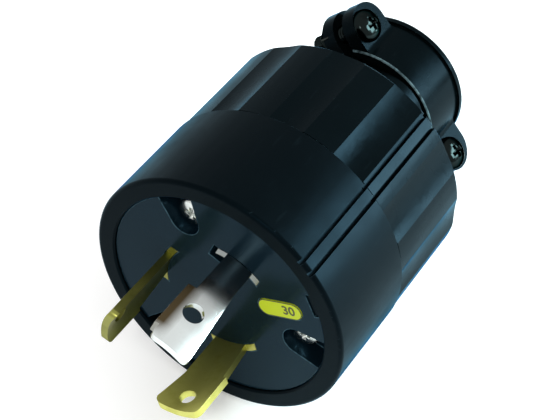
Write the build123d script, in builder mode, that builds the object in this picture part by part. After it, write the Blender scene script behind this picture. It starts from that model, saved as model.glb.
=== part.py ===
"""Rewireable three-pole twist-lock plug, for a 30 A caravan or generator lead.

The plug lies along Y.  The origin is the centre of its face disc, the blades point to -Y,
the cable leaves towards +Y, and +Z is up.  Angles are measured from +X towards +Z, seen
from the front, and a depth is a distance behind the face.  Lengths are in millimetres.
"""
import os
from math import asin, atan2, cos, degrees, hypot, radians, sin, sqrt
from typing import NamedTuple

from build123d import *

# ---------------------------------------------------------------- driving dimensions
# Running, seating and drop-in clearances
SEAT = 0.05                 # round pieces that are pressed or screwed together
DROP_IN = 0.10              # pieces dropped into a recess
FREE = 0.30                 # pieces that must never touch
PAST = 1.0                  # how far a cut runs past the face it opens

# Face disc, which carries the blades
DISC_T = 10.0
FACE_SET_BACK = 0.7         # the collar's rim stands this far in front of the face

# Front collar
COLLAR_WALL = 3.25          # at its rear edge, round the spigot
COLLAR_TAPER = 0.2          # its rim's radius is this much smaller
RIM_WALL = 4.05             # at the rim, round the face disc
RIM_ROUND = 0.9
COLLAR_END = 22.4           # depth of its rear edge
LEDGE_T = 2.6               # inner ledge that the face disc is pulled against
LEDGE_W = 1.95              # how far it reaches in under the disc

# Rear shell
SEAM_GAP = 0.3
SHELL_END = 47.2
SHELL_STEP = 0.1            # the grip's ridges lie this far under the collar at the seam
SHELL_WALL = 3.4
END_WALL = 3.4
END_ROUND = 1.2
SPIGOT_WALL = 1.6           # the spigot enters the collar
SPIGOT_L = 8.5
CAVITY_LEAD = 2.0           # length of the cone behind the spigot
CAVITY_CORNER = 4.0         # slope in the cavity's rear corner

# Grip flutes: each is a hollow scoop, and a long land climbs from it to the next ridge
FLUTES = 12
FLUTE_START = 18.8          # angle of one ridge
FLUTE_SPAN = 15.8           # width of the scoop, in degrees
FLUTE_DEPTH = 0.9           # at the seam
FLUTE_END_DEPTH = 0.7       # and at the rear edge
LAND_DROP = 0.2             # the land's near edge lies this far under the ridges

# Twin index grooves along collar and shell
GROOVE_ANGLES = (41.0, 46.9)
GROOVE_W = 0.9
GROOVE_D = 1.2

# Assembly screws, sunk in recesses that open at the edge of the disc
SCREW_ROOM = 1.7            # between the shanks and the collar's ledge
SCREW_START = 112.0
SCREW_R = 2.0
SCREW_HEAD_R = 3.05
SCREW_HEAD_H = 2.2
SCREW_SHANK = 23.0
RECESS_INNER_R = 3.2
RECESS_MOUTH = 7.8
HEAD_DEPTH = 2.4            # depth of the heads' tops under the face
DRIVE_ARM = 0.95            # width of an arm of the cross recess
DRIVE_DEPTH = 1.3
DRIVE_SPAN = 1.15           # span of the cross, in head radii
HEAD_ROUND = 0.42           # rounding of a head's top, in head heights

# Posts and threaded inserts in the rear shell
POST_R = 4.0
INSERT_R = 3.0
INSERT_L = 8.0
INSERT_HOLE_L = 14.0        # depth of the hole in the post

# Terminal block behind the disc
BLOCK_R = 21.6
BLOCK_T = 10.2
BLOCK_ROOM = 1.7            # between the block and the spigot round it
BARRIER_T = 2.0
BARRIER_H = 9.0
BARRIER_CORE_R = 3.0        # where the three barriers meet
BARRIER_ROOM = 0.8          # between the barriers and the posts
STEM_SLOT = 3.0             # the slots for the blades' stems, across
BLIND = 3.0                 # what is left under the holes for the terminal screws

# Blades: strips bent to an arc about the plug's axis.  Each outline is seen from outside,
# with widths from the blade's centre line (clockwise negative) and heights in front of the face.
BLADE_T = 1.5
STEM_HALF = 3.6             # half width of the stem inside the terminal block
TAB_T = 1.6
TAB_HALF = 4.2
TAB_SCREW_R = 16.9          # terminal screw's distance from the plug's axis
TAB_END = 3.7               # the tab reaches this far past the terminal screw
TIP_ROUND = 1.2


class Blade(NamedTuple):
    """Sizes of one blade."""

    name: str
    angle: float            # of its centre line
    pitch_r: float          # of the arc it is bent to
    tip: float              # height of its tip
    slot: float             # half width where it fills its slot
    neck_cw: float          # clockwise edge of the neck
    neck_ccw: float         # counter-clockwise edge of the neck, at the face
    neck_top: float         # and under the lug
    flare: float            # height where the clockwise edge starts to flare
    head_cw: float          # clockwise edge of the head
    head_ccw: float         # counter-clockwise edge of the head: the locking lug
    lug: float              # height of the lug's shoulder
    hole_at: float          # hole's place across
    hole: float             # height of the hole
    hole_r: float


BLADES = (
    Blade(
        "hot_blade", -73.0, 12.8, 19.5, 5.3, -4.3, 2.8, 4.2, 11.0,
        -5.6, 5.0, 9.7, -0.3, 15.8, 1.65,
    ),
    Blade(
        "neutral_blade", 163.5, 12.4, 19.6, 4.9, -3.2, 2.8, 4.2, 11.0,
        -4.6, 4.9, 9.5, -0.2, 15.8, 1.65,
    ),
    Blade(
        "ground_blade", 66.0, 12.8, 23.6, 4.9, -3.0, 2.9, 2.9, 5.0,
        -4.7, 4.6, 10.2, 0.3, 15.0, 2.05,
    ),
)
HOOKED = "ground_blade"     # its lug is bent in towards the axis
HOOK_T = 1.8
HOOK_IN_R = 9.6
HOOK_UNDER_TIP = 2.7        # the hook ends this far under the blade's tip
END_NARROW = 0.9            # the strip is this much narrower above the hook
HOOK_ROOM = 0.9             # extra width of the slot beside the hook
SLOT_REACH = 12.0           # depth of the boxes that bound the slots

# Terminal screws and pressure plates
TERM_SCREW_R = 2.0
TERM_HEAD_R = 3.6
TERM_HEAD_H = 2.4
TERM_LENGTH = 9.0
PLATE_T = 1.3
PLATE_LIP = 0.9
PLATE_LIP_T = 0.8
PLATE_LENGTH = 7.4

# Rating label
LABEL_ANGLE = 18.0
LABEL_R = 14.9
LABEL_L = 9.8
LABEL_W = 3.9
LABEL_T = 0.5
LABEL_SUNK = 0.35
LABEL_ROUND = 0.1

# Locating key between disc and collar
KEY_ANGLE = 23.8
KEY_W = 5.0
KEY_H = 1.3
KEY_SET_BACK = 0.3

# Neck of the shell, and the cone that leads to it
SHOULDER_R = 19.0
SHOULDER_TOP_R = 12.4
SHOULDER_END = 55.5
NECK_R = 10.2
NECK_BORE_R = 8.4
NECK_END = 66.2
NECK_GROOVE_AT = 62.0
NECK_GROOVE_W = 2.0
NECK_GROOVE_D = 0.7

# Cord clamp: two flat arches, drawn together by two screws through their ears
CLAMP_FRONT = 66.8
CLAMP_END = 80.7
CLAMP_ANGLE = 40.8          # the way the clamp screws' heads point
CLAMP_GAP = 3.0             # between the two saddles, as supplied
ARCH_R = 16.3
ARCH_SHIFT = 5.5            # the arch's centre lies this far across the plug's axis
ARCH_WALL = 1.8
CLAMP_BEAD = 0.6            # the bead round the saddle's rear edge
CLAMP_BEAD_W = 1.5
CRADLE_FRONT = 60.5         # half sleeve of the far saddle, under the neck
CRADLE_WALL = 2.0
GRIP_R = 7.5                # what the gripping ribs take: the cable's radius
GRIP_RIBS = 3
GRIP_RIB_W = 2.0
GRIP_START = 67.8
EDGE_ROUND = 0.5
EAR_SPACING = 34.7
EAR_AT = 71.0               # depth of the clamp screws
EAR_OUT = 4.6               # the ear reaches this far past the screw
EAR_FRONT = 67.2
EAR_END = 77.8
EAR_ROUND = 5.2
EAR_BLEND = 2.0             # hollow rounding where the ear meets the arch
EAR_T = 3.4
SPOT_FACE = 0.4             # flat turned on each ear, round the screw's head or the nut
CLAMP_SCREW_R = 2.0
CLAMP_HEAD_R = 3.7
CLAMP_HEAD_H = 2.4
CLAMP_SCREW_L = 15.0
NUT_W = 6.6
NUT_T = 2.6
NUT_SUNK = 1.6

# ---------------------------------------------------------------- sizes that follow
SPIGOT_R = BLOCK_R + BLOCK_ROOM + SPIGOT_WALL
BODY_R = SPIGOT_R + SEAT + COLLAR_WALL
COLLAR_FRONT_R = BODY_R - COLLAR_TAPER
SHELL_FRONT_R = BODY_R - SHELL_STEP
BORE_R = COLLAR_FRONT_R - RIM_WALL
DISC_R = BORE_R - DROP_IN
LEDGE_R = DISC_R - LEDGE_W
SCREW_PCR = LEDGE_R - SCREW_ROOM - SCREW_R
BARRIER_OUT = SCREW_PCR - POST_R - BARRIER_ROOM
TAB_OUT_R = TAB_SCREW_R + TAB_END
BLOCK_END = DISC_T + BLOCK_T
STEM_END = BLOCK_END + TAB_T
PLATE_AT = STEM_END + DROP_IN
SHELL_FRONT = COLLAR_END + SEAM_GAP
SPIGOT_FRONT = SHELL_FRONT - SPIGOT_L
CAVITY_R = SHELL_FRONT_R - SHELL_WALL
CAVITY_END = SHELL_END - END_WALL
SCREW_ANGLES = [SCREW_START + 360 / 3 * k for k in range(3)]
HEAD_SEAT = HEAD_DEPTH + SCREW_HEAD_H
os.makedirs("parts", exist_ok=True)


def station(depth):
    """Plane across the plug at a depth behind the face, seen from the front."""
    return Plane.XZ.offset(-depth)


def polar(radius, angle):
    """Point on a station's plane."""
    return (radius * cos(radians(angle)), radius * sin(radians(angle)))


def outward(angle, height=0.0, radius=0.0):
    """Plane square to a radius: its x runs counter-clockwise, its y towards the blades' tips."""
    x, z = polar(1, angle)
    return Plane(
        origin=(radius * x, -height, radius * z),
        x_dir=(-z, 0, x),
        z_dir=(x, 0, z),
    )


def save(part, name):
    """Label a finished piece and write it as its own node."""
    part.label = name
    export_step(part, f"parts/{name}.step")


# ---------------------------------------------------------------- front collar
with BuildPart() as front_collar:
    with BuildSketch(Plane.XY):
        Polygon(
            (BORE_R, -FACE_SET_BACK),
            (COLLAR_FRONT_R, -FACE_SET_BACK),
            (BODY_R, COLLAR_END),
            (SPIGOT_R + SEAT, COLLAR_END),
            (SPIGOT_R + SEAT, DISC_T + LEDGE_T),
            (LEDGE_R, DISC_T + LEDGE_T),
            (LEDGE_R, DISC_T),
            (BORE_R, DISC_T),
            align=None,
        )
    revolve(axis=Axis.Y)
    rim = front_collar.edges().filter_by(GeomType.CIRCLE).group_by(Axis.Y)[0].sort_by(SortBy.RADIUS)
    fillet(rim[-1], RIM_ROUND)
    chamfer(rim[0], FACE_SET_BACK / 2)
    # locating key on the wall of the bore
    with BuildSketch(station(KEY_SET_BACK)):
        with Locations(Rot(0, 0, KEY_ANGLE) * Pos(BORE_R, 0)):
            Rectangle(2 * KEY_H, KEY_W)
    extrude(amount=-(DISC_T - KEY_SET_BACK))
    # twin index grooves
    with BuildSketch(station(-FACE_SET_BACK - PAST)):
        for angle in GROOVE_ANGLES:
            with Locations(Rot(0, 0, angle) * Pos(BODY_R, 0)):
                Rectangle(2 * GROOVE_D, GROOVE_W)
    extrude(amount=-(COLLAR_END + FACE_SET_BACK + 2 * PAST), mode=Mode.SUBTRACT)
save(front_collar.part, "front_collar")


# ---------------------------------------------------------------- rear shell
def grip_outline(ridge_r, depth):
    """Closed outline of the fluted grip, as edges for a face."""
    period = 360 / FLUTES
    with BuildLine() as outline:
        for k in range(FLUTES):
            ridge = FLUTE_START + k * period
            edge = ridge + FLUTE_SPAN
            crest = ridge + period
            land_r = ridge_r - LAND_DROP
            ThreePointArc(
                polar(ridge_r, ridge),
                polar(ridge_r - depth, (ridge + edge) / 2),
                polar(land_r, edge),
            )
            ThreePointArc(
                polar(land_r, edge),
                polar(ridge_r - LAND_DROP / 3, (edge + crest) / 2),
                polar(ridge_r, crest),
            )
    return outline.edges()


with BuildPart() as rear_shell:
    with BuildSketch(station(SHELL_FRONT)):
        make_face(grip_outline(SHELL_FRONT_R, FLUTE_DEPTH))
    with BuildSketch(station(SHELL_END)):
        make_face(grip_outline(BODY_R, FLUTE_END_DEPTH))
    loft(ruled=True)
    # rounded rear edge
    with BuildSketch(Plane.XY):
        with BuildLine():
            tip_r = BODY_R + PAST
            round_r = BODY_R - END_ROUND
            Line((tip_r, SHELL_END - END_ROUND), (BODY_R, SHELL_END - END_ROUND))
            RadiusArc((BODY_R, SHELL_END - END_ROUND), (round_r, SHELL_END), -END_ROUND)
            Line((round_r, SHELL_END), (round_r, SHELL_END + PAST))
            Line((round_r, SHELL_END + PAST), (tip_r, SHELL_END + PAST))
            Line((tip_r, SHELL_END + PAST), (tip_r, SHELL_END - END_ROUND))
        make_face()
    revolve(axis=Axis.Y, mode=Mode.SUBTRACT)
    # spigot that enters the collar, and neck that carries the clamp
    with BuildSketch(Plane.XY):
        Polygon(
            (0, SPIGOT_FRONT),
            (SPIGOT_R, SPIGOT_FRONT),
            (SPIGOT_R, SHELL_FRONT + PAST),
            (0, SHELL_FRONT + PAST),
            align=None,
        )
        Polygon(
            (0, CAVITY_END),
            (SHOULDER_R, CAVITY_END),
            (SHOULDER_R, SHELL_END),
            (SHOULDER_TOP_R, SHOULDER_END),
            (NECK_R, SHOULDER_END),
            (NECK_R, NECK_GROOVE_AT),
            (NECK_R - NECK_GROOVE_D, NECK_GROOVE_AT),
            (NECK_R - NECK_GROOVE_D, NECK_GROOVE_AT + NECK_GROOVE_W),
            (NECK_R, NECK_GROOVE_AT + NECK_GROOVE_W),
            (NECK_R, NECK_END),
            (0, NECK_END),
            align=None,
        )
    revolve(axis=Axis.Y)
    # hollow inside: spigot bore, wiring space and cable way
    with BuildSketch(Plane.XY):
        Polygon(
            (0, SPIGOT_FRONT),
            (SPIGOT_R - SPIGOT_WALL, SPIGOT_FRONT),
            (SPIGOT_R - SPIGOT_WALL, SHELL_FRONT),
            (CAVITY_R, SHELL_FRONT + CAVITY_LEAD),
            (CAVITY_R, CAVITY_END - CAVITY_CORNER),
            (CAVITY_R - CAVITY_CORNER, CAVITY_END),
            (NECK_BORE_R, CAVITY_END),
            (NECK_BORE_R, NECK_END),
            (0, NECK_END),
            align=None,
        )
    revolve(axis=Axis.Y, mode=Mode.SUBTRACT)
    # posts for the threaded inserts, webbed to the wall
    with BuildSketch(station(BLOCK_END)):
        for angle in SCREW_ANGLES:
            with Locations(polar(SCREW_PCR, angle)):
                Circle(POST_R)
    extrude(amount=-(CAVITY_END + END_WALL / 2 - BLOCK_END))
    web_from = SHELL_FRONT + 2 * CAVITY_LEAD
    with BuildSketch(station(web_from)):
        for angle in SCREW_ANGLES:
            with Locations(Rot(0, 0, angle) * Pos((SCREW_PCR + CAVITY_R) / 2, 0)):
                Rectangle(CAVITY_R - SCREW_PCR + PAST, POST_R)
    extrude(amount=-(CAVITY_END + END_WALL / 2 - web_from))
    with BuildSketch(station(BLOCK_END)):
        for angle in SCREW_ANGLES:
            with Locations(polar(SCREW_PCR, angle)):
                Circle(INSERT_R + SEAT)
    extrude(amount=-INSERT_HOLE_L, mode=Mode.SUBTRACT)
    # twin index grooves
    with BuildSketch(station(SHELL_FRONT - PAST)):
        for angle in GROOVE_ANGLES:
            with Locations(Rot(0, 0, angle) * Pos((SHELL_FRONT_R + BODY_R) / 2, 0)):
                Rectangle(2 * GROOVE_D + BODY_R - SHELL_FRONT_R, GROOVE_W)
    extrude(amount=-(SHELL_END - SHELL_FRONT + 2 * PAST), mode=Mode.SUBTRACT)
save(rear_shell.part, "rear_shell")

# ---------------------------------------------------------------- face disc
with BuildPart() as face_disc:
    with BuildSketch(station(0)):
        Circle(DISC_R)
        with Locations(Rot(0, 0, KEY_ANGLE) * Pos(DISC_R, 0)):
            Rectangle(2 * (KEY_H + DROP_IN), KEY_W + 2 * DROP_IN, mode=Mode.SUBTRACT)
    extrude(amount=-DISC_T)
    # flared recesses for the screw heads, open at the edge
    with BuildSketch(station(0)):
        mouth = degrees(asin(RECESS_MOUTH / 2 / DISC_R))
        throat = degrees(atan2(RECESS_INNER_R, SCREW_PCR))
        for angle in SCREW_ANGLES:
            with Locations(polar(SCREW_PCR, angle)):
                Circle(RECESS_INNER_R)
            Polygon(
                polar(DISC_R + PAST, angle - mouth),
                polar(DISC_R + PAST, angle + mouth),
                polar(SCREW_PCR, angle + throat),
                polar(SCREW_PCR, angle - throat),
                align=None,
            )
    extrude(amount=-HEAD_SEAT, mode=Mode.SUBTRACT)
    with BuildSketch(station(0)):
        for angle in SCREW_ANGLES:
            with Locations(polar(SCREW_PCR, angle)):
                Circle(SCREW_R + FREE)
    extrude(amount=-DISC_T, mode=Mode.SUBTRACT)
    # seat of the rating label
    with BuildSketch(station(0)):
        with Locations(Rot(0, 0, LABEL_ANGLE) * Pos(LABEL_R, 0)):
            SlotOverall(LABEL_L + 2 * DROP_IN, LABEL_W + 2 * DROP_IN)
    extrude(amount=-LABEL_SUNK, mode=Mode.SUBTRACT)
    # arc slots for the blades, and the square end that takes the ground blade's hook
    for blade in BLADES:
        with BuildSketch(station(0)):
            Circle(blade.pitch_r + BLADE_T / 2 + DROP_IN)
            Circle(blade.pitch_r - BLADE_T / 2 - DROP_IN, mode=Mode.SUBTRACT)
            with Locations(Rot(0, 0, blade.angle) * Pos(blade.pitch_r, 0)):
                Rectangle(SLOT_REACH, 2 * (blade.slot + DROP_IN), mode=Mode.INTERSECT)
        extrude(amount=-DISC_T, mode=Mode.SUBTRACT)
        if blade.name == HOOKED:
            with BuildSketch(outward(blade.angle, radius=HOOK_IN_R - DROP_IN)):
                with Locations((blade.slot + (HOOK_ROOM - HOOK_T) / 2, -DISC_T / 2)):
                    Rectangle(HOOK_T + HOOK_ROOM + 2 * DROP_IN, DISC_T + 2 * PAST)
            extrude(amount=blade.pitch_r - HOOK_IN_R, mode=Mode.SUBTRACT)
save(face_disc.part, "face_disc")

# ---------------------------------------------------------------- terminal block
with BuildPart() as terminal_block:
    with BuildSketch(station(DISC_T)):
        Circle(BLOCK_R)
    extrude(amount=-BLOCK_T)
    # barriers that keep the three wires apart
    with BuildSketch(station(BLOCK_END)):
        for angle in SCREW_ANGLES:
            with Locations(Rot(0, 0, angle) * Pos(BARRIER_OUT / 2, 0)):
                Rectangle(BARRIER_OUT, BARRIER_T)
        Circle(BARRIER_CORE_R)
    extrude(amount=-BARRIER_H)
    with BuildSketch(station(DISC_T)):
        for angle in SCREW_ANGLES:
            with Locations(polar(SCREW_PCR, angle)):
                Circle(SCREW_R + FREE)
    extrude(amount=-BLOCK_T, mode=Mode.SUBTRACT)
    # passages for the blades' stems, and blind holes for the ends of the terminal screws
    for blade in BLADES:
        with BuildSketch(station(DISC_T)):
            with Locations(Rot(0, 0, blade.angle) * Pos(blade.pitch_r, 0)):
                Rectangle(STEM_SLOT, 2 * (STEM_HALF + DROP_IN))
        extrude(amount=-BLOCK_T, mode=Mode.SUBTRACT)
        with BuildSketch(station(BLOCK_END)):
            with Locations(polar(TAB_SCREW_R, blade.angle)):
                Circle(TERM_SCREW_R + FREE)
        extrude(amount=BLOCK_T - BLIND, mode=Mode.SUBTRACT)
save(terminal_block.part, "terminal_block")

# ---------------------------------------------------------------- blades
for blade in BLADES:
    with BuildPart() as strip:
        # arc strip, cut to the blade's outline
        with BuildSketch(station(STEM_END)):
            Circle(blade.pitch_r + BLADE_T / 2)
            Circle(blade.pitch_r - BLADE_T / 2, mode=Mode.SUBTRACT)
        extrude(amount=STEM_END + blade.tip)
        with BuildSketch(outward(blade.angle)) as outline:
            with BuildLine():
                Polyline(
                    (-STEM_HALF, -STEM_END),
                    (-STEM_HALF, -DISC_T),
                    (-blade.slot, -DISC_T),
                    (-blade.slot, 0),
                    (blade.neck_cw, 0),
                    (blade.neck_cw, blade.flare),
                    (blade.head_cw, blade.tip),
                    (blade.head_ccw, blade.tip),
                    (blade.head_ccw, blade.lug),
                    (blade.neck_top, blade.lug),
                    (blade.neck_ccw, 0),
                    (blade.slot, 0),
                    (blade.slot, -DISC_T),
                    (STEM_HALF, -DISC_T),
                    (STEM_HALF, -STEM_END),
                    close=True,
                )
            make_face()
            if blade.name == HOOKED:
                with Locations((blade.head_ccw, blade.tip)):
                    Rectangle(2 * END_NARROW, 2 * HOOK_UNDER_TIP, mode=Mode.SUBTRACT)
            fillet(outline.vertices().group_by(Axis.Y)[-1], TIP_ROUND)
        extrude(amount=blade.pitch_r + BLADE_T, mode=Mode.INTERSECT)
        with BuildSketch(outward(blade.angle)):
            with Locations((blade.hole_at, blade.hole)):
                Circle(blade.hole_r)
        extrude(amount=blade.pitch_r + BLADE_T, mode=Mode.SUBTRACT)
        if blade.name == HOOKED:
            hook_top = blade.tip - HOOK_UNDER_TIP
            with BuildSketch(outward(blade.angle, radius=HOOK_IN_R)):
                with Locations((blade.head_ccw - HOOK_T / 2, (blade.lug + hook_top) / 2)):
                    Rectangle(HOOK_T, hook_top - blade.lug)
            extrude(amount=blade.pitch_r - HOOK_IN_R - BLADE_T / 2)
        # terminal tab, bent outwards at the rear end
        with BuildSketch(station(BLOCK_END)):
            with Locations(Rot(0, 0, blade.angle) * Pos((blade.pitch_r - BLADE_T + TAB_OUT_R) / 2, 0)):
                Rectangle(TAB_OUT_R - blade.pitch_r + BLADE_T, 2 * TAB_HALF)
        extrude(amount=-TAB_T)
        with BuildSketch(station(BLOCK_END)):
            with Locations(polar(TAB_SCREW_R, blade.angle)):
                Circle(TERM_SCREW_R + SEAT)
        extrude(amount=-TAB_T, mode=Mode.SUBTRACT)
    save(strip.part, blade.name)


# ---------------------------------------------------------------- screws, all with a cross recess
def pan_screw(plane, head_r, head_h, shank_r, length):
    """Pan-head screw whose head sits on a plane and points along it."""
    with BuildPart() as screw:
        with BuildSketch(plane):
            Circle(head_r)
        extrude(amount=head_h)
        top = screw.faces().sort_by(Axis(plane.origin, plane.z_dir))[-1]
        fillet(top.edges(), HEAD_ROUND * head_h)
        with BuildSketch(plane):
            Circle(shank_r)
        extrude(amount=-length)
        with BuildSketch(plane.offset(head_h)):
            Rectangle(DRIVE_SPAN * head_r, DRIVE_ARM)
            Rectangle(DRIVE_ARM, DRIVE_SPAN * head_r)
        extrude(amount=-DRIVE_DEPTH, mode=Mode.SUBTRACT)
    return screw.part


screws = []
inserts = []
for angle in SCREW_ANGLES:
    x, z = polar(SCREW_PCR, angle)
    seat = Plane(origin=(x, HEAD_SEAT, z), x_dir=(1, 0, 0), z_dir=(0, -1, 0))
    screws.append(pan_screw(seat, SCREW_HEAD_R, SCREW_HEAD_H, SCREW_R, SCREW_SHANK))
    with BuildPart() as insert:
        with BuildSketch(station(BLOCK_END + FREE)):
            with Locations((x, z)):
                Circle(INSERT_R)
                Circle(SCREW_R + SEAT, mode=Mode.SUBTRACT)
        extrude(amount=-INSERT_L)
    inserts.append(insert.part)
save(Compound(children=screws), "assembly_screws")
save(Compound(children=inserts), "shell_inserts")

# ---------------------------------------------------------------- terminals
for blade in BLADES:
    pole = blade.name.removesuffix("_blade")
    spoke = Rot(0, 0, blade.angle)
    with BuildPart() as plate:
        with BuildSketch(station(PLATE_AT)):
            with Locations(spoke * Pos(TAB_SCREW_R, 0)):
                Rectangle(PLATE_LENGTH, 2 * (TAB_HALF + DROP_IN + PLATE_LIP_T))
                Circle(TERM_SCREW_R + FREE, mode=Mode.SUBTRACT)
        extrude(amount=-PLATE_T)
        # lips that run down both sides of the tab
        with BuildSketch(station(PLATE_AT)):
            for side in (-1, 1):
                lip = side * (TAB_HALF + DROP_IN + PLATE_LIP_T / 2)
                with Locations(spoke * Pos(TAB_SCREW_R, lip)):
                    Rectangle(PLATE_LENGTH, PLATE_LIP_T)
        extrude(amount=PLATE_LIP)
    save(plate.part, f"{pole}_pressure_plate")
    x, z = polar(TAB_SCREW_R, blade.angle)
    seat = Plane(origin=(x, PLATE_AT + PLATE_T, z), x_dir=(x, 0, z), z_dir=(0, 1, 0))
    screw = pan_screw(seat, TERM_HEAD_R, TERM_HEAD_H, TERM_SCREW_R, TERM_LENGTH)
    save(screw, f"{pole}_terminal_screw")

# ---------------------------------------------------------------- rating label
with BuildPart() as rating_label:
    with BuildSketch(station(LABEL_SUNK)):
        with Locations(Rot(0, 0, LABEL_ANGLE) * Pos(LABEL_R, 0)):
            SlotOverall(LABEL_L, LABEL_W)
    extrude(amount=LABEL_T)
    fillet(rating_label.faces().sort_by(Axis.Y)[0].edges(), LABEL_ROUND)
save(rating_label.part, "rating_label")


# ---------------------------------------------------------------- cord clamp
def saddle(facing, cradled):
    """One arch of the cord clamp, bulging towards an angle; the cradled one hooks on the neck."""
    x, z = polar(1, facing)
    centre = polar(-ARCH_SHIFT, facing)
    # the parting plane's x runs along the ears and its y along the plug
    parting = Plane(
        origin=(x * CLAMP_GAP / 2, 0, z * CLAMP_GAP / 2),
        x_dir=(-z, 0, x),
        z_dir=(x, 0, z),
    )
    back = parting.y_dir.Y
    ears = [(side * EAR_SPACING / 2, back * EAR_AT) for side in (-1, 1)]
    with BuildPart() as half:
        with BuildSketch(station(CLAMP_FRONT)):
            with Locations(centre):
                Circle(ARCH_R)
        extrude(amount=-(CLAMP_END - CLAMP_FRONT))
        with BuildSketch(station(CLAMP_END)):
            with Locations(centre):
                Circle(ARCH_R + CLAMP_BEAD)
        extrude(amount=CLAMP_BEAD_W)
        rims = half.edges().filter_by(GeomType.CIRCLE).sort_by(Axis.Y)
        fillet(rims[0], EDGE_ROUND)
        fillet(rims[-1], EDGE_ROUND)
        # ears, which run out of the arch with a hollow rounding
        with BuildPart():
            with BuildSketch(station(EAR_FRONT)) as profile:
                with Locations(centre):
                    Circle(ARCH_R)
                with Locations(Rot(0, 0, facing) * Pos((CLAMP_GAP + EAR_T) / 2, 0)):
                    Rectangle(EAR_T, EAR_SPACING + 2 * EAR_OUT)
                ear_top = CLAMP_GAP / 2 + EAR_T
                foot = sqrt(ARCH_R**2 - (ear_top + ARCH_SHIFT) ** 2)
                hollows = [
                    vertex
                    for vertex in profile.vertices()
                    if abs(hypot(vertex.X, vertex.Y) - hypot(ear_top, foot)) < SEAT
                    and vertex.X * x + vertex.Y * z > 0
                ]
                fillet(hollows, EAR_BLEND)
            extrude(amount=-(EAR_END - EAR_FRONT))
            with BuildSketch(parting):
                with Locations((0, back * (EAR_FRONT + EAR_END) / 2)):
                    RectangleRounded(EAR_SPACING + 2 * EAR_OUT, EAR_END - EAR_FRONT, EAR_ROUND)
            extrude(amount=2 * ARCH_R, both=True, mode=Mode.INTERSECT)
        if cradled:
            with BuildSketch(station(CRADLE_FRONT)):
                Circle(NECK_R + DROP_IN + CRADLE_WALL)
            extrude(amount=-(GRIP_START - CRADLE_FRONT))
        # hollow under the arch
        with BuildSketch(station(CLAMP_FRONT - PAST)):
            with Locations(centre):
                Circle(ARCH_R - ARCH_WALL)
        extrude(amount=-(CLAMP_END + 2 * PAST - CLAMP_FRONT), mode=Mode.SUBTRACT)
        # gripping ribs
        step = (CLAMP_END - GRIP_RIB_W - GRIP_START) / (GRIP_RIBS - 1)
        for k in range(GRIP_RIBS):
            with BuildSketch(station(GRIP_START + k * step)):
                with Locations(centre):
                    Circle(ARCH_R - ARCH_WALL / 2)
                Circle(GRIP_R, mode=Mode.SUBTRACT)
            extrude(amount=-GRIP_RIB_W)
        if cradled:
            with BuildSketch(station(CRADLE_FRONT)):
                Circle(NECK_R + DROP_IN)
            extrude(amount=-(NECK_END + DROP_IN - CRADLE_FRONT), mode=Mode.SUBTRACT)
            with BuildSketch(station(NECK_GROOVE_AT + SEAT)):
                Circle(NECK_R + CRADLE_WALL / 2)
                Circle(NECK_R - NECK_GROOVE_D + SEAT, mode=Mode.SUBTRACT)
            extrude(amount=-(NECK_GROOVE_W - 2 * SEAT))
        # parting face, screw holes and the flats round them
        with BuildSketch(parting):
            with Locations((0, back * EAR_AT)):
                Rectangle(4 * ARCH_R, 4 * ARCH_R)
        extrude(amount=-2 * ARCH_R, mode=Mode.SUBTRACT)
        with BuildSketch(parting):
            with Locations(*ears):
                Circle(CLAMP_SCREW_R + FREE)
        extrude(amount=EAR_T + PAST, mode=Mode.SUBTRACT)
        flat_r = NUT_W / sqrt(3) if cradled else CLAMP_HEAD_R
        with BuildSketch(parting.offset(EAR_T)):
            with Locations(*ears):
                Circle(flat_r + SPOT_FACE)
        extrude(amount=ARCH_R, mode=Mode.SUBTRACT)
        if cradled:
            with BuildSketch(parting.offset(EAR_T - NUT_SUNK)):
                with Locations(*ears):
                    RegularPolygon(NUT_W / 2 + SEAT, 6, major_radius=False)
            extrude(amount=EAR_T, mode=Mode.SUBTRACT)
    return half.part


save(saddle(CLAMP_ANGLE, cradled=False), "near_saddle")
save(saddle(CLAMP_ANGLE + 180, cradled=True), "far_saddle")

head_x, head_z = polar(1, CLAMP_ANGLE)
nuts = []
for name, side in (("clamp_screw_upper", 1), ("clamp_screw_lower", -1)):
    ear_x, ear_z = polar(side * EAR_SPACING / 2, CLAMP_ANGLE + 90)
    rise = CLAMP_GAP / 2 + EAR_T
    seat = Plane(
        origin=(ear_x + rise * head_x, EAR_AT, ear_z + rise * head_z),
        x_dir=(0, 1, 0),
        z_dir=(head_x, 0, head_z),
    )
    save(pan_screw(seat, CLAMP_HEAD_R, CLAMP_HEAD_H, CLAMP_SCREW_R, CLAMP_SCREW_L), name)
    drop = NUT_SUNK - CLAMP_GAP / 2 - EAR_T
    pocket = Plane(
        origin=(ear_x + drop * head_x, EAR_AT, ear_z + drop * head_z),
        x_dir=(-head_z, 0, head_x),
        z_dir=(-head_x, 0, -head_z),
    )
    with BuildPart() as nut:
        with BuildSketch(pocket):
            RegularPolygon(NUT_W / 2, 6, major_radius=False)
            Circle(CLAMP_SCREW_R + SEAT, mode=Mode.SUBTRACT)
        extrude(amount=NUT_T)
    nuts.append(nut.part)
save(Compound(children=nuts), "clamp_nuts")
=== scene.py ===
"""Rewireable three-pole twist-lock plug: black moulded body, curved blades, screwed cord clamp.

The plug lies along Y with its blades towards -Y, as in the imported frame.  Lengths are in metres.
"""
from math import cos, radians, sin

import bpy
from mathutils import Matrix, Vector


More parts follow.
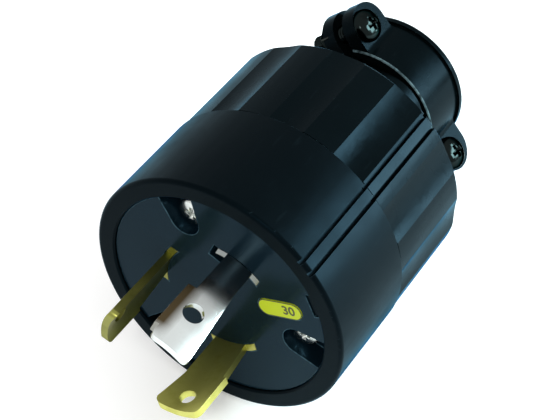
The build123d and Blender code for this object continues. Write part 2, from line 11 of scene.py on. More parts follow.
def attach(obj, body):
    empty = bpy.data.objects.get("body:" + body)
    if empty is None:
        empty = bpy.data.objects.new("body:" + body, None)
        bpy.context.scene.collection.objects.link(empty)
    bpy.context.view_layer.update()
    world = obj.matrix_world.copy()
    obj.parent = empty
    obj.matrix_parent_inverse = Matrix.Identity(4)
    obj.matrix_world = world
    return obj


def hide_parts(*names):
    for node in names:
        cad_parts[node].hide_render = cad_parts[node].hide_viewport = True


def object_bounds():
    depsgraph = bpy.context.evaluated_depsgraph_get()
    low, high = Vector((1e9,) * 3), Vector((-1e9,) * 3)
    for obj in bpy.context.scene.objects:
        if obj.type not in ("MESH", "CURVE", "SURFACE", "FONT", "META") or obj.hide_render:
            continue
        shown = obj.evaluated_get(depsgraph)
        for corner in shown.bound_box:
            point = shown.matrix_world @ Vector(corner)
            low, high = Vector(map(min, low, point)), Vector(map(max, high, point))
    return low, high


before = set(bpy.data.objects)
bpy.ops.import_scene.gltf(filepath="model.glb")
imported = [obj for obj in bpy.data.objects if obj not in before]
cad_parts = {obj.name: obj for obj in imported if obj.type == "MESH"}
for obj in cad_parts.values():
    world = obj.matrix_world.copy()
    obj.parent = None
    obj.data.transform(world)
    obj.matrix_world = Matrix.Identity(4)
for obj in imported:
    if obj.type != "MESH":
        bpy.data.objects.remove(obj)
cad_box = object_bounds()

# ---------------------------------------------------------------- camera, floor and light
# A matt white sheet lies under the plug, with a white surround.  A broad, slightly blue lamp
# stands at the right rear and a small one above the front, as over a small product table.
MM = 0.001
camera_data = bpy.data.cameras.new("camera")
camera_data.lens = 93.4
camera_data.sensor_width = 36.0
camera_data.clip_start = 0.01
camera = bpy.data.objects.new("camera", camera_data)
camera.location = (0.1095, -0.1555, 0.2059)
looking = Vector((-0.3765, 0.614, -0.6934))
camera.rotation_euler = looking.to_track_quat("-Z", "Y").to_euler()
bpy.context.scene.collection.objects.link(camera)
bpy.context.scene.camera = camera
bpy.context.scene.view_settings.view_transform = "Standard"

FLOOR_WIDTH = 8.0
FLOOR_GAP = 0.4 * MM
bpy.ops.object.select_all(action="DESELECT")
bpy.ops.mesh.primitive_plane_add(size=FLOOR_WIDTH, location=(0, 0, cad_box[0][2] - FLOOR_GAP))
floor = bpy.context.object
floor.name = "floor"


def feed(tree, value, slot):
    """Links a socket to a node's slot, or sets a plain number or colour there."""
    if isinstance(value, bpy.types.NodeSocket):
        tree.links.new(value, slot)
    elif isinstance(value, tuple):
        slot.default_value = (*value, 1)
    else:
        slot.default_value = value


def combine(tree, operation, first, second):
    """A math node on two sockets or numbers."""
    node = tree.nodes.new("ShaderNodeMath")
    node.operation = operation
    feed(tree, first, node.inputs[0])
    feed(tree, second, node.inputs[1])
    return node.outputs[0]


def seen_share(tree):
    """A socket that is 1 on what is seen straight, in a reflection or through glass."""
    rays = tree.nodes.new("ShaderNodeLightPath").outputs
    direct = combine(tree, "MAXIMUM", rays["Is Camera Ray"], rays["Is Glossy Ray"])
    return combine(tree, "MAXIMUM", direct, rays["Is Transmission Ray"])


# the sheet glows a little where it is seen, so that it stays white
SHEET_GLOW = 0.16
white_sheet = bpy.data.materials.new("white_sheet")
white_sheet.use_nodes = True
sheet = white_sheet.node_tree
sheet_shader = sheet.nodes["Principled BSDF"]
sheet_shader.inputs["Base Color"].default_value = (0.93, 0.93, 0.93, 1)
sheet_shader.inputs["Roughness"].default_value = 0.9
sheet_shader.inputs["Specular IOR Level"].default_value = 0.1
sheet_shader.inputs["Emission Color"].default_value = (1, 1, 1, 1)
sheet_glow = combine(sheet, "MULTIPLY", seen_share(sheet), SHEET_GLOW)
sheet.links.new(sheet_glow, sheet_shader.inputs["Emission Strength"])
floor.data.materials.append(white_sheet)

# white all round, and a touch dimmer as a light than where it is seen
surround = bpy.data.worlds.new("surround")
surround.use_nodes = True
bpy.context.scene.world = surround
sky = surround.node_tree
sky.nodes.clear()
lit = sky.nodes.new("ShaderNodeBackground")
lit.inputs["Color"].default_value = (1, 1, 1, 1)
lit.inputs["Strength"].default_value = 0.95
shown = sky.nodes.new("ShaderNodeBackground")
shown.inputs["Color"].default_value = (1, 1, 1, 1)
shown.inputs["Strength"].default_value = 1.0
choose = sky.nodes.new("ShaderNodeMixShader")
world_out = sky.nodes.new("ShaderNodeOutputWorld")
sky.links.new(seen_share(sky), choose.inputs[0])
sky.links.new(lit.outputs[0], choose.inputs[1])
sky.links.new(shown.outputs[0], choose.inputs[2])
sky.links.new(choose.outputs[0], world_out.inputs["Surface"])

PLUG_MIDDLE = Vector((0, 0.03, 0))


def softbox(name, place, size, power, colour):
    """A square lamp at a place, turned to face the plug."""
    data = bpy.data.lights.new(name, "AREA")
    data.shape = "SQUARE"
    data.size = size
    data.energy = power
    data.color = colour
    lamp = bpy.data.objects.new(name, data)
    lamp.location = place
    lamp.rotation_euler = (PLUG_MIDDLE - Vector(place)).to_track_quat("-Z", "Y").to_euler()
    bpy.context.scene.collection.objects.link(lamp)


softbox("right_lamp", (0.34, 0.28, 0.15), size=0.22, power=4.8, colour=(0.74, 0.96, 1.0))
softbox("front_lamp", (0.12, -0.33, 0.36), size=0.06, power=0.7, colour=(1.0, 1.0, 0.96))

# ---------------------------------------------------------------- front collar
# The real piece is a thick ring of black moulded plastic that holds the face disc.  Its rim and
# grooves have small moulding radii, and its skin has a fine grain, rubbed smooth on the edges.
# points closer than a hair are one, faces flatter than the first angle are one, and corners
# gentler than the second are shaded smooth
HAIR = 0.002 * MM
FLAT_ANGLE = radians(0.6)
SMOOTH_ANGLE = radians(45)


def pick(*pieces):
    """Selects only these pieces and makes the last one active."""
    bpy.ops.object.select_all(action="DESELECT")
    for piece in pieces:
        piece.select_set(True)
    bpy.context.view_layer.objects.active = pieces[-1]


def mark_edges(piece):
    """Writes a face attribute that is 1 on the rounded outer corners, for the wear and the painted
    edge highlight to follow.
    """
    mesh = piece.data
    sides = {}
    for face in mesh.polygons:
        for key in face.edge_keys:
            sides.setdefault(key, []).append(face.index)
    marks = mesh.attributes.new("rubbed_and_highlit_edge", "FLOAT", "FACE")
    for face in mesh.polygons:
        # the bevel put its own faces in the second material slot
        if face.material_index == 1:
            near = {side for key in face.edge_keys for side in sides[key]} - {face.index}
            depth = [
                (face.center - mesh.polygons[side].center).dot(mesh.polygons[side].normal)
                for side in near
            ]
            marks.data[face.index].value = float(min(depth) < -HAIR)


def rounded_copy(node, name, body, width, steps=2, corner=30):
    """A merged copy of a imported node, in its place, with corners over some degrees rounded."""
    piece = bpy.data.objects.new(name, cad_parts[node].data.copy())
    bpy.context.scene.collection.objects.link(piece)
    pick(piece)
    bpy.ops.mesh.customdata_custom_splitnormals_clear()
    bpy.ops.object.mode_set(mode="EDIT")
    bpy.ops.mesh.select_all(action="SELECT")
    bpy.ops.mesh.remove_doubles(threshold=HAIR)
    bpy.ops.mesh.dissolve_limited(angle_limit=FLAT_ANGLE)
    bpy.ops.object.mode_set(mode="OBJECT")
    corners = piece.modifiers.new("corners", "BEVEL")
    corners.width = width
    corners.segments = steps
    corners.limit_method = "ANGLE"
    corners.angle_limit = radians(corner)
    corners.material = 1
    # two empty slots, so that the bevel can set its own faces apart
    piece.data.materials.clear()
    piece.data.materials.append(None)
    piece.data.materials.append(None)
    bpy.ops.object.modifier_apply(modifier="corners")
    mark_edges(piece)
    piece.data.materials.clear()
    bpy.ops.object.shade_smooth_by_angle(angle=SMOOTH_ANGLE)
    flats = piece.modifiers.new("flats", "WEIGHTED_NORMAL")
    flats.keep_sharp = True
    flats.weight = 50
    bpy.ops.object.modifier_apply(modifier="flats")
    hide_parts(node)
    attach(piece, body)
    return piece


def new_group(name, values, results):
    """An empty shader group that takes coordinates and values; also its ends' sockets."""
    tree = bpy.data.node_groups.new(name, "ShaderNodeTree")
    tree.interface.new_socket("Vector", in_out="INPUT", socket_type="NodeSocketVector")
    for value in values:
        tree.interface.new_socket(value, in_out="INPUT", socket_type="NodeSocketFloat")
    for result in results:
        tree.interface.new_socket(result, in_out="OUTPUT", socket_type="NodeSocketFloat")
    given = tree.nodes.new("NodeGroupInput").outputs
    return tree, given, tree.nodes.new("NodeGroupOutput").inputs


def noise(tree, space, scale, detail, roughness=0.5):
    """A noise of a given scale, per metre, over the given coordinates."""
    node = tree.nodes.new("ShaderNodeTexNoise")
    node.inputs["Scale"].default_value = scale
    node.inputs["Detail"].default_value = detail
    node.inputs["Roughness"].default_value = roughness
    tree.links.new(space, node.inputs["Vector"])
    return node.outputs["Fac"]


def lengthened(tree, space, share):
    """Coordinates squeezed along the plug, so that a pattern on them runs lengthwise."""
    node = tree.nodes.new("ShaderNodeMapping")
    node.inputs["Scale"].default_value = (1.0, share, 1.0)
    tree.links.new(space, node.inputs["Vector"])
    return node.outputs[0]


def remap(tree, source, span, onto=(0.0, 1.0)):
    """A value whose span of numbers is spread onto another span, and held at its ends."""
    node = tree.nodes.new("ShaderNodeMapRange")
    node.inputs["From Min"].default_value = span[0]
    node.inputs["From Max"].default_value = span[1]
    node.inputs["To Min"].default_value = onto[0]
    node.inputs["To Max"].default_value = onto[1]
    tree.links.new(source, node.inputs["Value"])
    return node.outputs["Result"]


# moulded skin: fine grain, a roughness with broad clouds, and a few long rub marks
moulded, given, result = new_group(
    "moulded_skin", ("Roughness", "Scuffs"), ("Height", "Roughness", "Scuffs")
)
grain = noise(moulded, given["Vector"], scale=3800, detail=2)
clouds = noise(moulded, given["Vector"], scale=120, detail=3)
cloudy = remap(moulded, clouds, (0.3, 0.7), onto=(-0.05, 0.06))
streak_space = lengthened(moulded, given["Vector"], share=0.12)
streaks = noise(moulded, streak_space, scale=1100, detail=4, roughness=0.62)
scuffed = remap(moulded, streaks, (0.62, 0.74))
feed(moulded, grain, result["Height"])
feed(moulded, combine(moulded, "ADD", cloudy, given["Roughness"]), result["Roughness"])
feed(moulded, combine(moulded, "MULTIPLY", scuffed, given["Scuffs"]), result["Scuffs"])

# worn edges and painted edge highlights: the marked outer corners, broken up by noise
worn_and_highlit, given, result = new_group("worn_and_highlit_edges", ("Amount",), ("Mask",))
marked = worn_and_highlit.nodes.new("ShaderNodeAttribute")
marked.attribute_name = "rubbed_and_highlit_edge"
chips = noise(worn_and_highlit, given["Vector"], scale=700, detail=3, roughness=0.6)
patchy = remap(worn_and_highlit, chips, (0.35, 0.6), onto=(0.15, 1.0))
mask = combine(worn_and_highlit, "MULTIPLY", marked.outputs["Fac"], patchy)
feed(worn_and_highlit, combine(worn_and_highlit, "MULTIPLY", mask, given["Amount"]), result["Mask"])


def new_material(name):
    """A new material: its node tree, its shader, and its object coordinates."""
    made = bpy.data.materials.new(name)
    made.use_nodes = True
    tree = made.node_tree
    place = tree.nodes.new("ShaderNodeTexCoord")
    return made, tree, tree.nodes["Principled BSDF"], place.outputs["Object"]


def use_group(tree, group, place, values):
    """Puts a shader group into a material with its values and returns its results."""
    node = tree.nodes.new("ShaderNodeGroup")
    node.node_tree = group
    tree.links.new(place, node.inputs["Vector"])
    for name, value in values.items():
        node.inputs[name].default_value = value
    return node.outputs


def mix(tree, factor, first, second, way="MIX"):
    """Mixes two colours, each a socket or a plain colour, by a factor."""
    node = tree.nodes.new("ShaderNodeMix")
    node.data_type = "RGBA"
    node.blend_type = way
    feed(tree, factor, node.inputs["Factor"])
    feed(tree, first, node.inputs["A"])
    feed(tree, second, node.inputs["B"])
    return node.outputs["Result"]


def bump(tree, shader, height, distance, strength):
    """Bumps a shader's normal by a height."""
    node = tree.nodes.new("ShaderNodeBump")
    node.inputs["Distance"].default_value = distance
    node.inputs["Strength"].default_value = strength
    tree.links.new(height, node.inputs["Height"])
    tree.links.new(node.outputs[0], shader.inputs["Normal"])


EDGE_POLISH = 0.12


def plastic(name, base, rubbed_and_highlit, roughness, shine, grain_depth):
    """Moulded plastic: grain, cloudy gloss, rub marks, and smooth pale edges that are partly worn
    and partly a painted highlight.
    """
    made, tree, shader, place = new_material(name)
    skin = use_group(tree, moulded, place, {"Roughness": roughness, "Scuffs": 0.03})
    edge = use_group(tree, worn_and_highlit, place, {"Amount": 1.0})
    wear_and_highlight = combine(tree, "MAXIMUM", skin["Scuffs"], edge["Mask"])
    # the edges are paler, partly from wear and partly as a painted highlight
    feed(tree, mix(tree, wear_and_highlight, base, rubbed_and_highlit), shader.inputs["Base Color"])
    polish = combine(tree, "MULTIPLY", edge["Mask"], EDGE_POLISH)
    polished = combine(tree, "SUBTRACT", skin["Roughness"], polish)
    feed(tree, polished, shader.inputs["Roughness"])
    shader.inputs["Specular IOR Level"].default_value = shine
    shader.inputs["Specular Tint"].default_value = (0.25, 0.66, 0.97, 1)
    shader.inputs["Coat Weight"].default_value = 1.0
    shader.inputs["Coat IOR"].default_value = 1.0
    shader.inputs["Coat Tint"].default_value = (0.84, 0.95, 1.0, 1)
    bump(tree, shader, skin["Height"], grain_depth, strength=0.6)
    return made


COARSE_GRAIN = 0.012 * MM
collar_black = plastic(
    "collar_black",
    base=(0.0013, 0.0019, 0.0021),
    # the pale edge colour is partly wear, partly a painted highlight along the rear edge's seam
    rubbed_and_highlit=(0.050, 0.075, 0.085),
    roughness=0.36,
    shine=0.042,
    grain_depth=COARSE_GRAIN,
)
collar = rounded_copy("front_collar", "collar", "plug_body", width=0.22 * MM, steps=3)
collar.data.materials.append(collar_black)

# ---------------------------------------------------------------- rear shell
# A fluted moulding of the same black plastic, with a spigot inside the collar, a cone and a
# grooved neck for the clamp.  Three posts inside it take the assembly screws.
shell_black = plastic(
    "shell_black",
    base=(0.0012, 0.0019, 0.0020),
    rubbed_and_highlit=(0.040, 0.060, 0.068),
    roughness=0.28,
    shine=0.040,
    grain_depth=COARSE_GRAIN,
)
shell = rounded_copy("rear_shell", "shell", "plug_body", width=0.3 * MM, steps=3, corner=14)
shell.data.materials.append(shell_black)

# ---------------------------------------------------------------- face disc
# A disc of hard black thermoset, pressed in a polished mould, so it is glossier than the body.
# It has slots for the blades and cut-outs for the screw heads, and the collar holds it.
FINE_GRAIN = 0.006 * MM
disc_black = plastic(
    "disc_black",
    base=(0.0024, 0.0072, 0.0110),
    # the pale edge colour is partly wear, partly a painted highlight on the rims of the bore and
    # cut-outs
    rubbed_and_highlit=(0.050, 0.085, 0.100),
    roughness=0.19,
    shine=0.10,
    grain_depth=FINE_GRAIN,
)
disc = rounded_copy("face_disc", "disc", "plug_body", width=0.2 * MM)
disc.data.materials.append(disc_black)

# ---------------------------------------------------------------- terminal block
# A block of grey moulded plastic behind the disc, with three barriers between the wires.  The
# long screws clamp it between the disc and the shell.
block_grey = plastic(
    "block_grey",
    base=(0.12, 0.12, 0.115),
    rubbed_and_highlit=(0.2, 0.2, 0.19),
    roughness=0.5,
    shine=0.4,
    grain_depth=COARSE_GRAIN,
)
block = rounded_copy("terminal_block", "block", "plug_body", width=0.2 * MM)
block.data.materials.append(block_grey)

# ---------------------------------------------------------------- blades
# Strips of rolled metal, bent to an arc, with sheared edges rounded by tumbling.  The hot and
# neutral blades are bare brass.  The ground blade is nickel plated.  Each blade has painted shade
# at its root by the disc.

# drawn metal: lengthwise lines from the rolls, and stains that are also a little rougher
drawn, given, result = new_group(
    "drawn_metal", ("Roughness",), ("Height", "Roughness", "Stain")
)
line_space = lengthened(drawn, given["Vector"], share=0.03)
roll_lines = noise(drawn, line_space, scale=5200, detail=3, roughness=0.6)
stains = noise(drawn, given["Vector"], scale=260, detail=4, roughness=0.6)
dulling = remap(drawn, stains, (0.3, 0.7), onto=(-0.03, 0.04))
feed(drawn, roll_lines, result["Height"])
feed(drawn, combine(drawn, "ADD", dulling, given["Roughness"]), result["Roughness"])
feed(drawn, remap(drawn, stains, (0.5, 0.72)), result["Stain"])

# painted shade darkens each blade towards its root by the disc: it sets in from the first place
# to the second
ROOT_SHADE_SPAN = (-19 * MM, -4 * MM)
# the ground blade's painted reflection of the neutral blade lies beyond its middle line,
# between the tip and the root
REFLECTION_ACROSS = (1.2 * MM, 3.4 * MM)
REFLECTION_TIP = (-23.5 * MM, -20.0 * MM)
REFLECTION_ROOT = (-8.5 * MM, -6.5 * MM)
# each pole's place round the plug's axis, in degrees from +X towards +Z
POLE_TURN = {"hot": -73.0, "neutral": 163.5, "ground": 66.0}


def rolled_metal(name, base, stained, bright, roughness, line_depth, root_shade, painted_reflection=None):
    """Strip metal: lengthwise lines, stains, painted shade at the root, and bright edges that are
    partly worn and partly a painted highlight.  A painted reflection is a colour and the direction
    of the flank that it lies on."""
    made, tree, shader, place = new_material(name)
    strip = use_group(tree, drawn, place, {"Roughness": roughness})
    edge = use_group(tree, worn_and_highlit, place, {"Amount": 1.0})
    shader.inputs["Metallic"].default_value = 1.0
    colour = mix(tree, strip["Stain"], base, stained)
    split = tree.nodes.new("ShaderNodeSeparateXYZ")
    tree.links.new(place, split.inputs[0])
    along = split.outputs["Y"]
    # a painted reflection of a neighbouring blade on one flank, if one is given
    if painted_reflection:
        across = tree.nodes.new("ShaderNodeVectorMath")
        across.operation = "DOT_PRODUCT"
        across.inputs[1].default_value = painted_reflection[1]
        tree.links.new(place, across.inputs[0])
        past_middle = remap(tree, across.outputs["Value"], REFLECTION_ACROSS)
        behind_tip = remap(tree, along, REFLECTION_TIP)
        before_root = remap(tree, along, REFLECTION_ROOT, onto=(1.0, 0.0))
        lengthwise = combine(tree, "MULTIPLY", behind_tip, before_root)
        patch = combine(tree, "MULTIPLY", past_middle, lengthwise)
        colour = mix(tree, patch, colour, painted_reflection[0])
    # painted shade towards the root, by the disc
    root_shading = remap(tree, along, ROOT_SHADE_SPAN, onto=(1.0, root_shade))
    colour = mix(tree, 1.0, colour, root_shading, "MULTIPLY")
    # bright edges: partly wear, partly a painted highlight
    colour = mix(tree, edge["Mask"], colour, bright)
    feed(tree, colour, shader.inputs["Base Color"])
    feed(tree, strip["Roughness"], shader.inputs["Roughness"])
    bump(tree, shader, strip["Height"], line_depth, strength=0.5)
    return made


brass = rolled_metal(
    "brass",
    base=(0.56, 0.54, 0.14),
    stained=(0.47, 0.45, 0.10),
    bright=(0.76, 0.70, 0.46),
    roughness=0.43,
    line_depth=0.0015 * MM,
    root_shade=0.70,
)
# the neutral blade's brass: the same brass, made darker as painted shade
shaded_brass = rolled_metal(
    "shaded_brass",
    base=(0.24, 0.24, 0.06),
    stained=(0.17, 0.17, 0.04),
    bright=(0.80, 0.73, 0.42),
    roughness=0.34,
    line_depth=0.0015 * MM,
    root_shade=0.85,
)
ground_turn = radians(POLE_TURN["ground"])
nickel = rolled_metal(
    "nickel",
    base=(0.68, 0.72, 0.71),
    stained=(0.60, 0.63, 0.61),
    bright=(0.94, 0.96, 0.95),
    roughness=0.17,
    line_depth=0.002 * MM,
    root_shade=0.36,
    # the painted reflection: the neutral blade's brass, brown on one flank
    painted_reflection=((0.075, 0.055, 0.028), (-sin(ground_turn), 0, cos(ground_turn))),
)
for blade_node, finish, slot_name in (
    ("hot_blade", brass, "blade_brass"),
    ("neutral_blade", shaded_brass, "blade_brass"),
    ("ground_blade", nickel, "blade_nickel"),
):
    blade = rounded_copy(
        blade_node, "cut_" + blade_node, "plug_body", width=0.42 * MM, steps=4
    )
    blade.data.materials.append(finish)

# ---------------------------------------------------------------- assembly screws
# Three zinc-plated pan-head machine screws, sunk in the disc, that pull disc, block and shell
# together.  Turned and rolled steel, with a punched cross recess.

# seats are given in millimetres, and a screw stands this far clear of its own
SEAT_GAP = 0.03
# a head's outline, as steps of spread and rise
PAN_HEAD = (
    (1.015, 0.06), (1.0, 0.44), (0.975, 0.20), (0.93, 0.14), (0.85, 0.10), (0.6, 0.05), (0.4, 0.01)
)
HEAD_SIDES = 48
SHANK_SIDES = 24
SHANK_R = 2.0 * MM
PITCH = 0.7 * MM
# the thread's outline over one pitch, as radius and height: root, crest, crest, root
THREAD_OUTLINE = (
    (0.84 * SHANK_R, 0.0), (0.99 * SHANK_R, 0.42 * PITCH), (0.99 * SHANK_R, 0.58 * PITCH),
    (0.84 * SHANK_R, PITCH),
)
CORE_R = 0.86 * SHANK_R
# how far the recess's bars stand out of the head, and how they narrow along and across
CUTTER_CLEAR = 1 * MM
CUTTER_TAPER, CUTTER_THIN = 0.45, 0.7


def on_seat(piece, point, toward):
    """Moves a piece made at the origin to a hair above its seat, its object at the origin."""
    turn = Vector(toward).to_track_quat("Z", "Y").to_matrix().to_4x4()
    seated = Vector(point) + SEAT_GAP * Vector(toward)
    piece.matrix_world = Matrix.Translation(seated * MM) @ turn
    pick(piece)
    bpy.ops.object.transform_apply(location=True, rotation=True, scale=True)


def cross_cutter(span, width, depth, top):
    """Two crossed bars that taper downwards, to cut the drive recess."""
    bars = []
    middle = top - depth / 2
    bpy.ops.object.select_all(action="DESELECT")
    for size in ((span, width), (width, span)):
        bpy.ops.mesh.primitive_cube_add(size=1, location=(0, 0, middle + CUTTER_CLEAR / 2))
        bar = bpy.context.object
        bars.append(bar)
        bar.scale = (size[0], size[1], depth + CUTTER_CLEAR)
        bpy.ops.object.transform_apply(location=True, rotation=True, scale=True)
        for corner in bar.data.vertices:
            if corner.co.z < middle:
                corner.co.x *= CUTTER_TAPER if size[0] == span else CUTTER_THIN
                corner.co.y *= CUTTER_TAPER if size[1] == span else CUTTER_THIN
    pick(*bars)
    bpy.ops.object.join()
    return bars[-1]


def recessed_head(name, rings, head_r, head_h):
    """A turned head, raised ring by ring from its foot, with a punched cross recess."""
    bpy.ops.object.select_all(action="DESELECT")
    bpy.ops.mesh.primitive_circle_add(
        vertices=HEAD_SIDES, radius=0.985 * head_r, fill_type="NGON"
    )
    head = bpy.context.object
    head.name = name
    bpy.ops.object.mode_set(mode="EDIT")
    bpy.ops.mesh.select_all(action="SELECT")
    for spread, rise in rings:
        step = {"value": (0, 0, rise * head_h)}
        bpy.ops.mesh.extrude_region_move(TRANSFORM_OT_translate=step)
        bpy.ops.transform.resize(value=(spread, spread, 1), center_override=(0, 0, 0))
    bpy.ops.mesh.select_all(action="SELECT")
    bpy.ops.mesh.normals_make_consistent(inside=False)
    bpy.ops.object.mode_set(mode="OBJECT")
    cutter = cross_cutter(
        span=1.2 * head_r, width=0.30 * head_r, depth=0.55 * head_h, top=head_h
    )
    recess = head.modifiers.new("recess", "BOOLEAN")
    recess.object = cutter
    recess.operation = "DIFFERENCE"
    recess.solver = "EXACT"
    recess.use_self = True
    pick(head)
    bpy.ops.object.modifier_apply(modifier="recess")
    bpy.data.objects.remove(cutter)
    return head


def rolled_thread(name, length):
    """A rolled thread: one pitch of its outline, turned round and along the shank."""
    profile = bpy.data.meshes.new(name)
    points = [(radius, 0, height - length) for radius, height in THREAD_OUTLINE]
    profile.from_pydata(points, [(0, 1), (1, 2), (2, 3)], [])
    thread = bpy.data.objects.new(name, profile)
    bpy.context.scene.collection.objects.link(thread)
    winding = thread.modifiers.new("winding", "SCREW")
    winding.axis = "Z"
    winding.screw_offset = PITCH
    winding.iterations = int(length / PITCH) - 1
    winding.steps = SHANK_SIDES
    winding.render_steps = SHANK_SIDES
    winding.use_merge_vertices = True
    winding.merge_threshold = 0.01 * MM
    pick(thread)
    bpy.ops.object.modifier_apply(modifier="winding")
    return thread


def machine_screw(name, rings, head_r, head_h, length, point, toward):
    """A whole screw on its seat: its head, its thread, and the core that closes the thread."""
    screw = recessed_head(name, rings, head_r, head_h)
    thread = rolled_thread(name + "_thread", length)
    bpy.ops.mesh.primitive_cylinder_add(
        vertices=SHANK_SIDES, radius=CORE_R, depth=length, location=(0, 0, -length / 2)
    )
    core = bpy.context.object
    bpy.ops.object.transform_apply(location=True, rotation=True, scale=True)
    pick(core, thread, screw)
    bpy.ops.object.join()
    bpy.ops.object.mode_set(mode="EDIT")
    bpy.ops.mesh.select_all(action="SELECT")
    bpy.ops.mesh.normals_make_consistent(inside=False)
    bpy.ops.object.mode_set(mode="OBJECT")
    corners = screw.modifiers.new("corners", "BEVEL")
    corners.width = 0.05 * MM
    corners.segments = 2
    corners.limit_method = "ANGLE"
    corners.angle_limit = radians(50)
    bpy.ops.object.modifier_apply(modifier="corners")
    bpy.ops.object.shade_smooth_by_angle(angle=radians(40))
    on_seat(screw, point, toward)
    return screw


PLATING_GRAIN = 0.006 * MM


def plated_steel(name, base, dark, rubbed_to, roughness):
    """Plated or blackened fastener steel, mottled, and bright where a driver rubbed it."""
    made, tree, shader, place = new_material(name)
    strip = use_group(tree, drawn, place, {"Roughness": roughness})
    edge = use_group(tree, worn_and_highlit, place, {"Amount": 0.6})
    shader.inputs["Metallic"].default_value = 1.0
    mottled = mix(tree, strip["Stain"], base, dark)
    feed(tree, mix(tree, edge["Mask"], mottled, rubbed_to), shader.inputs["Base Color"])
    feed(tree, strip["Roughness"], shader.inputs["Roughness"])
    bump(tree, shader, strip["Height"], PLATING_GRAIN, strength=0.4)
    return made


zinc_steel = plated_steel(
    "zinc_steel",
    base=(0.60, 0.62, 0.60),
    dark=(0.40, 0.42, 0.40),
    rubbed_to=(0.8, 0.8, 0.78),
    roughness=0.24,
)
# the seats' distance from the plug's axis and behind the disc's face, and the first one's turn
ASSEMBLY_R, ASSEMBLY_SEAT, ASSEMBLY_FIRST = 18.2, 4.6, 112.0
for k in range(3):
    angle = radians(ASSEMBLY_FIRST + 120.0 * k)
    screw = machine_screw(
        f"assembly_screw_{k + 1}",
        PAN_HEAD,
        head_r=3.05 * MM,
        head_h=2.2 * MM,
        length=23.0 * MM,
        point=(ASSEMBLY_R * cos(angle), ASSEMBLY_SEAT, ASSEMBLY_R * sin(angle)),
        toward=(0, -1, 0),
    )
    screw.data.materials.append(zinc_steel)
    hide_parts("assembly_screws")
    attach(screw, "plug_body")

# ---------------------------------------------------------------- clamp screws and nuts
# Blackened steel screws with round heads hold the two saddles together.  Their hexagon nuts
# sit in pockets of the far saddle.
ROUND_HEAD = (
    (1.015, 0.10), (1.0, 0.12), (0.965, 0.22), (0.90, 0.20), (0.78, 0.18), (0.56, 0.12),
    (0.4, 0.06),
)
black_steel = plated_steel(
    "black_steel",
    base=(0.010, 0.014, 0.014),
    dark=(0.006, 0.008, 0.008),
    rubbed_to=(0.05, 0.055, 0.05),
    roughness=0.14,
)
black_shader = black_steel.node_tree.nodes["Principled BSDF"]
black_shader.inputs["Specular Tint"].default_value = (0.25, 0.3, 0.3, 1)
# the clamp's turn about the plug, and its screws: out from the axis, along it, and their seats
clamp_turn = radians(40.8)
EAR_R, CLAMP_Y, CLAMP_SEAT = 17.35, 71.0, 4.9
heads_point = (cos(clamp_turn), 0, sin(clamp_turn))
for screw_name, body, side in (
    ("clamp_screw_upper", "upper_screw", 1),
    ("clamp_screw_lower", "lower_screw", -1),
):
    seat = (
        -EAR_R * side * sin(clamp_turn) + CLAMP_SEAT * heads_point[0],
        CLAMP_Y,
        EAR_R * side * cos(clamp_turn) + CLAMP_SEAT * heads_point[2],
    )
    screw = machine_screw(
        "turned_" + screw_name,
        ROUND_HEAD,
        head_r=3.7 * MM,
        head_h=2.4 * MM,
        length=15.0 * MM,
        point=seat,
        toward=heads_point,
    )
    screw.data.materials.append(black_steel)
    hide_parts(screw_name)
    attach(screw, body)

nuts = rounded_copy("clamp_nuts", "hex_nuts", "plug_body", width=0.25 * MM)
nuts.data.materials.append(black_steel)

# ---------------------------------------------------------------- saddles of the cord clamp
# Two arched halves of black moulded plastic.  The near one carries the screw heads, the far
# one the nuts and the half sleeve that hooks in the neck's groove.
saddle_black = plastic(
    "saddle_black",
    base=(0.0009, 0.0016, 0.0017),
    # a pale edge colour, which on the front lip is a painted highlight
    rubbed_and_highlit=(0.110, 0.145, 0.150),
    roughness=0.24,
    shine=0.03,
    grain_depth=0.010 * MM,
)
# the front lip gets a painted highlight: it ends at this Y, and its faces' normals have a Y
# between these
LIP_END = 67.4 * MM
LIP_LEAN = (-0.96, -0.15)
for saddle_node, body in (("near_saddle", "clamp_half"), ("far_saddle", "plug_body")):
    saddle = rounded_copy(saddle_node, "moulded_" + saddle_node, body, width=0.3 * MM, steps=3)
    rubbed_and_highlit = saddle.data.attributes["rubbed_and_highlit_edge"].data
    for face in saddle.data.polygons:
        if face.center.y < LIP_END and LIP_LEAN[0] < face.normal.y < LIP_LEAN[1]:
            rubbed_and_highlit[face.index].value = 1.0
    saddle.data.materials.append(saddle_black)

# ---------------------------------------------------------------- terminals
# Under each pole a screw with a captive square plate clamps the wire: brass for hot, plain
# plated steel for neutral, green for ground.
brass_steel = plated_steel(
    "brass_screw",
    base=(0.62, 0.50, 0.20),
    dark=(0.40, 0.32, 0.12),
    rubbed_to=(0.85, 0.75, 0.4),
    roughness=0.28,
)
green_steel = plated_steel(
    "green_screw",
    base=(0.05, 0.30, 0.10),
    dark=(0.03, 0.16, 0.06),
    rubbed_to=(0.3, 0.5, 0.3),
    roughness=0.3,
)
washer_steel = plated_steel(
    "washer_steel",
    base=(0.55, 0.56, 0.54),
    dark=(0.36, 0.37, 0.35),
    rubbed_to=(0.8, 0.8, 0.78),
    roughness=0.3,
)
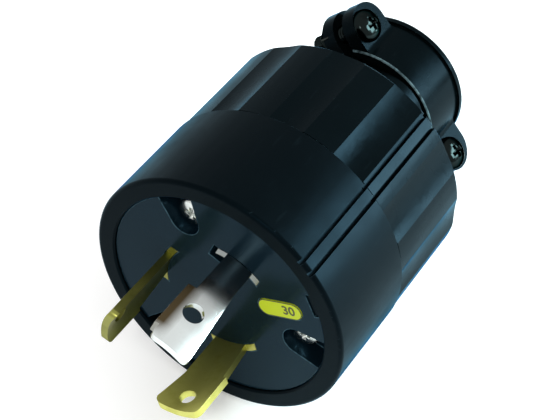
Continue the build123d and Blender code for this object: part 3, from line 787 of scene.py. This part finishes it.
# the seats' distance from the plug's axis and behind the disc's face
TERMINAL_R, TERMINAL_SEAT = 16.9, 23.2
for pole, finish, slot_name in (
    ("hot", brass_steel, "screw_brass"),
    ("neutral", zinc_steel, "screw_steel"),
    ("ground", green_steel, "screw_green"),
):
    plate = rounded_copy(
        pole + "_pressure_plate", pole + "_plate_stamped", pole + "_plate", width=0.15 * MM
    )
    plate.data.materials.append(washer_steel)
    turn = radians(POLE_TURN[pole])
    screw = machine_screw(
        pole + "_screw_turned",
        PAN_HEAD,
        head_r=3.6 * MM,
        head_h=2.4 * MM,
        length=9.0 * MM,
        point=(TERMINAL_R * cos(turn), TERMINAL_SEAT, TERMINAL_R * sin(turn)),
        toward=(0, 1, 0),
    )
    screw.data.materials.append(finish)
    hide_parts(pole + "_terminal_screw")
    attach(screw, pole + "_screw")

# ---------------------------------------------------------------- threaded inserts
# Three turned brass sleeves with a tapped bore, pressed into the shell's posts.  The assembly
# screws end in them.
inserts = rounded_copy("shell_inserts", "turned_inserts", "plug_body", width=0.2 * MM)
inserts.data.materials.append(brass)

# ---------------------------------------------------------------- rating label
# A yellow moulded tag with rounded ends, pressed into a pocket of the disc.  Its number is printed
# dark; the thin dark line round its face is a painted shadow of the gap round the tag.
tag_yellow, tree, shader, place = new_material("label_yellow")
skin = use_group(tree, moulded, place, {"Roughness": 0.42, "Scuffs": 0.0})
edge = use_group(tree, worn_and_highlit, place, {"Amount": 1.0})
# the tag's edges are paler, partly from wear and partly as a painted highlight
yellow = mix(tree, edge["Mask"], (0.37, 0.44, 0.004), (0.60, 0.66, 0.08))
feed(tree, yellow, shader.inputs["Base Color"])
feed(tree, skin["Roughness"], shader.inputs["Roughness"])
shader.inputs["Specular IOR Level"].default_value = 0.3
bump(tree, shader, skin["Height"], FINE_GRAIN, strength=0.4)
label = rounded_copy("rating_label", "label", "plug_body", width=0.08 * MM)
label.data.materials.append(tag_yellow)

# the number's dark print colour, also used for the painted shadow line round the tag
ink_and_shadow, tree, shader, place = new_material("label_ink_and_shadow")
skin = use_group(tree, moulded, place, {"Roughness": 0.5, "Scuffs": 1.0})
dark = mix(tree, skin["Scuffs"], (0.035, 0.034, 0.006), (0.10, 0.10, 0.01))
feed(tree, dark, shader.inputs["Base Color"])
feed(tree, skin["Roughness"], shader.inputs["Roughness"])

# the tag lies along a line from the disc's centre, at this turn, and reads outwards
label_turn = radians(18.0)
reading = Vector((cos(label_turn), 0, sin(label_turn)))
upward = Vector((-sin(label_turn), 0, cos(label_turn)))
# the tag's middle and its number, out from the disc's centre, and the number in front of it
TAG_OUT = 14.9 * MM
NUMBER_OUT = 16.9 * MM
NUMBER_LIFT = 0.17 * MM
FIGURE_SIZE = 2.9 * MM
FIGURE_BOLD = 0.05 * MM
INK_DEPTH = 0.02 * MM
# the painted shadow line: a circle, its halves moved out by this shift, as a round wire
LINE_R = 1.84 * MM
LINE_SHIFT = 2.95 * MM
WIRE_R = 0.10 * MM


def on_tag(piece, out, lift):
    """Lays a flat piece on the disc at a distance out from its centre, facing the front."""
    spot = reading * out + Vector((0, -lift, 0))
    piece.matrix_world = Matrix(
        (
            (reading.x, upward.x, 0, spot.x),
            (reading.y, upward.y, -1, spot.y),
            (reading.z, upward.z, 0, spot.z),
            (0, 0, 0, 1),
        )
    )
    bpy.ops.object.transform_apply(location=True, rotation=True, scale=True)
    piece.data.materials.append(ink_and_shadow)
    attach(piece, "plug_body")


bpy.ops.object.select_all(action="DESELECT")
bpy.ops.object.text_add()
number = bpy.context.object
number.name = "label_number"
number.data.body = "30"
number.data.size = FIGURE_SIZE
number.data.extrude = INK_DEPTH
number.data.offset = FIGURE_BOLD
number.data.align_x = "CENTER"
number.data.align_y = "CENTER"
bpy.ops.object.convert(target="MESH")
on_tag(number, NUMBER_OUT, NUMBER_LIFT)

# the dark line round the tag's face, a painted shadow of the gap round it
bpy.ops.object.select_all(action="DESELECT")
bpy.ops.mesh.primitive_circle_add(vertices=64, radius=LINE_R)
outline = bpy.context.object
outline.name = "label_shadow_line"
for point in outline.data.vertices:
    point.co.x += LINE_SHIFT if point.co.x >= 0 else -LINE_SHIFT
bpy.ops.object.convert(target="CURVE")
outline = bpy.context.object
outline.data.bevel_depth = WIRE_R
outline.data.bevel_resolution = 3
bpy.ops.object.convert(target="MESH")
outline = bpy.context.object
bpy.ops.object.shade_smooth_by_angle(angle=SMOOTH_ANGLE)
on_tag(outline, TAG_OUT, WIRE_R)
